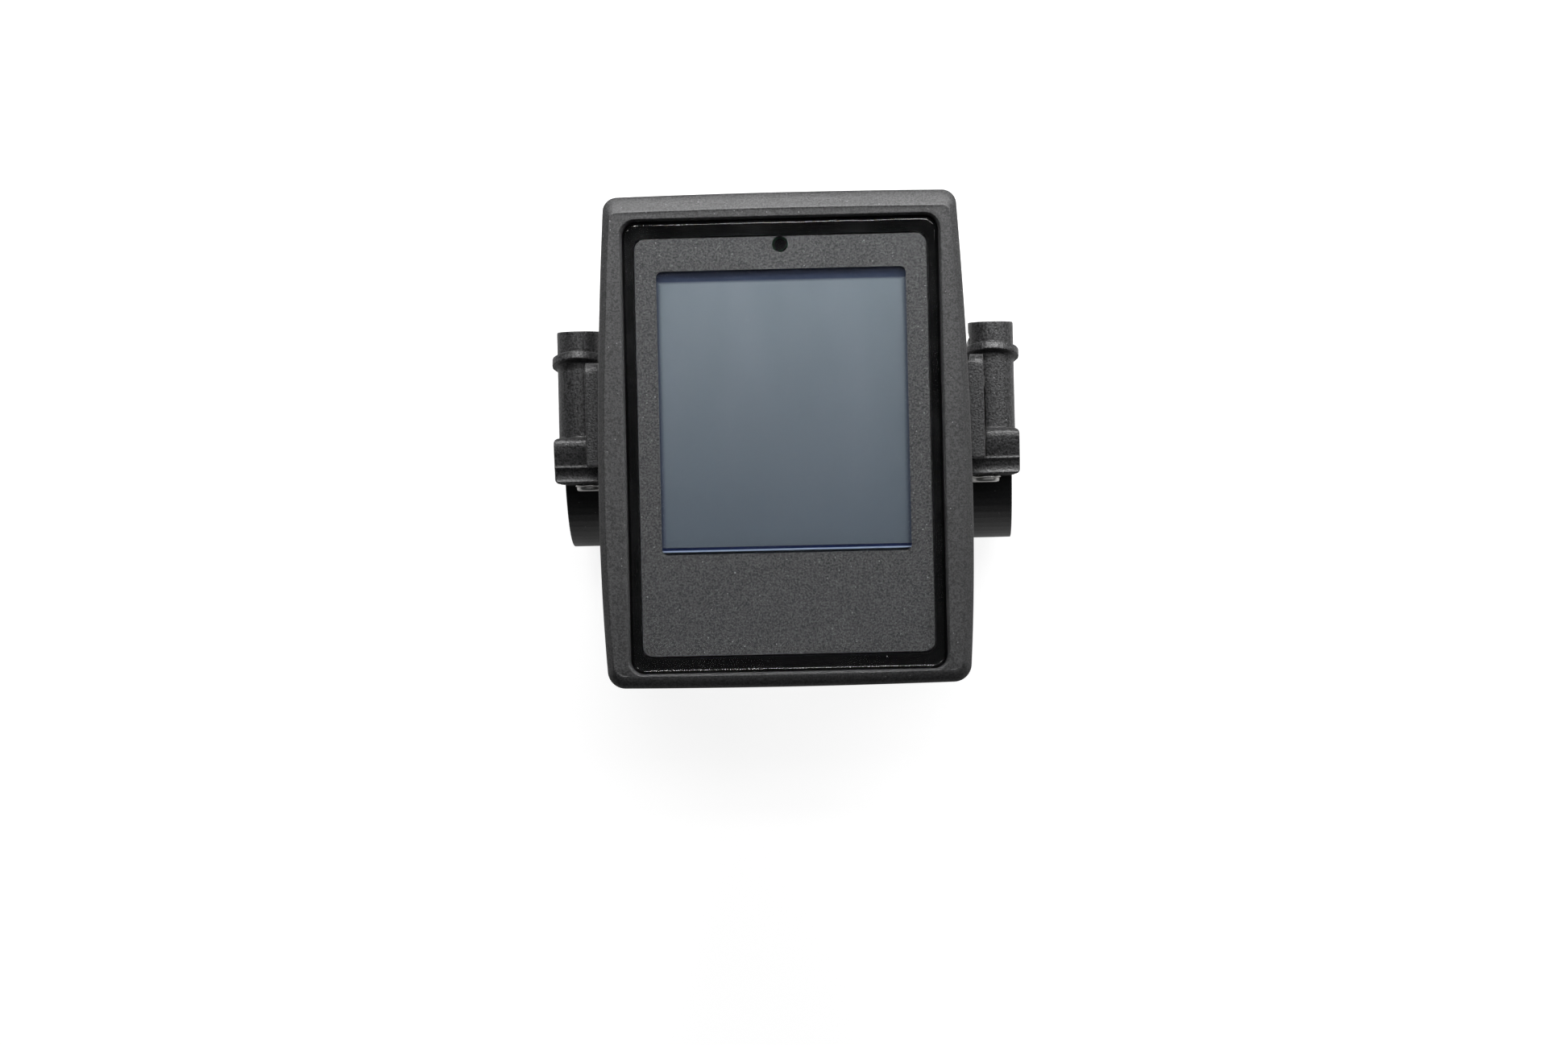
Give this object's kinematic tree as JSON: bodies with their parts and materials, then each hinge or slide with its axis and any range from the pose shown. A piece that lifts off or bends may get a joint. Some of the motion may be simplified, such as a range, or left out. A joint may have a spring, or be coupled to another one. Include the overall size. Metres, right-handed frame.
{
  "type": "cycling computer",
  "caption": "Electric bicycle display with a tall LCD screen in a bevelled black housing, tilting on clamps that hinge open to take a handlebar.",
  "frame": {"origin": "on the handlebar's axis, midway between the clamps", "axes": "+X along the handlebar to the rider's right, +Y forward, +Z out of the screen"},
  "size_m": [0.085, 0.088, 0.0564],
  "materials": {
    "housing_plastic": "fine-grained satin black",
    "bracket_plastic": "coarse-grained satin black",
    "strap_plastic": "smooth satin black",
    "black_rubber": "matt",
    "clear_lens": "polished",
    "mask_print": "matt speckled print",
    "screen_film": "satin film",
    "light_guide_plastic": "clear moulded",
    "white_plastic": "moulded",
    "circuit_board": "solder mask",
    "chip_plastic": "moulded",
    "bright_steel": "zinc plated"
  },
  "bodies": {
    "clamps": {"clamp_saddle_left": "bracket_plastic", "hinge_pin_left": "bright_steel", "closing_screw_left": "bright_steel", "closing_washer_left": "bright_steel", "closing_nut_left": "bright_steel", "pivot_nut_left": "bright_steel", "saddle_liner_left": "black_rubber", "clamp_saddle_right": "bracket_plastic", "hinge_pin_right": "bright_steel", "closing_screw_right": "bright_steel", "closing_washer_right": "bright_steel", "closing_nut_right": "bright_steel", "pivot_nut_right": "bright_steel", "saddle_liner_right": "black_rubber"},
    "display": {"arm_screw_left_1": "bright_steel", "arm_screw_left_2": "bright_steel", "arm_screw_right_1": "bright_steel", "arm_screw_right_2": "bright_steel", "backlight_strip": "white_plastic", "bracket_arm_left": "bracket_plastic", "bracket_arm_right": "bracket_plastic", "bus_transceiver": "chip_plastic", "buzzer": "chip_plastic", "cable_gland": "strap_plastic", "cable_grommet": "black_rubber", "capacitor": "chip_plastic", "front_bezel": "housing_plastic", "front_lens": "clear_lens", "front_polariser": "screen_film", "gland_nut": "strap_plastic", "housing_screw_1": "bright_steel", "housing_screw_2": "bright_steel", "housing_screw_3": "bright_steel", "housing_screw_4": "bright_steel", "housing_seal": "black_rubber", "inductor": "chip_plastic", "lcd_carrier": "white_plastic", "lcd_cell": "screen_film", "lens_gasket": "black_rubber", "light_guide": "light_guide_plastic", "light_pipe": "light_guide_plastic", "light_sensor": "chip_plastic", "main_board": "circuit_board", "mask_panel": "mask_print", "microcontroller": "chip_plastic", "pivot_screw_left": "bright_steel", "pivot_screw_right": "bright_steel", "rear_cover": "housing_plastic", "rear_polariser": "screen_film", "reflector_sheet": "white_plastic", "screen_connector": "white_plastic", "vent_plug": "strap_plastic", "voltage_regulator": "chip_plastic"},
    "strap_left": {"clamp_strap_left": "strap_plastic", "strap_liner_left": "black_rubber"},
    "strap_right": {"clamp_strap_right": "strap_plastic", "strap_liner_right": "black_rubber"}
  },
  "joints": [
    {"name": "display_tilt", "type": "hinge", "parent": "clamps", "child": "display", "pos_m": [0, 0.0055, 0.0203], "axis": [1, 0, 0], "range_deg": [-10, 10]},
    {"name": "strap_left_open", "type": "hinge", "parent": "clamps", "child": "strap_left", "pos_m": [-0.0375, 0.0175, 0.0195], "axis": [1, 0, 0], "range_deg": [0, 90]},
    {"name": "strap_right_open", "type": "hinge", "parent": "clamps", "child": "strap_right", "pos_m": [0.0375, 0.0175, 0.0195], "axis": [1, 0, 0], "range_deg": [0, 90]}
  ]
}
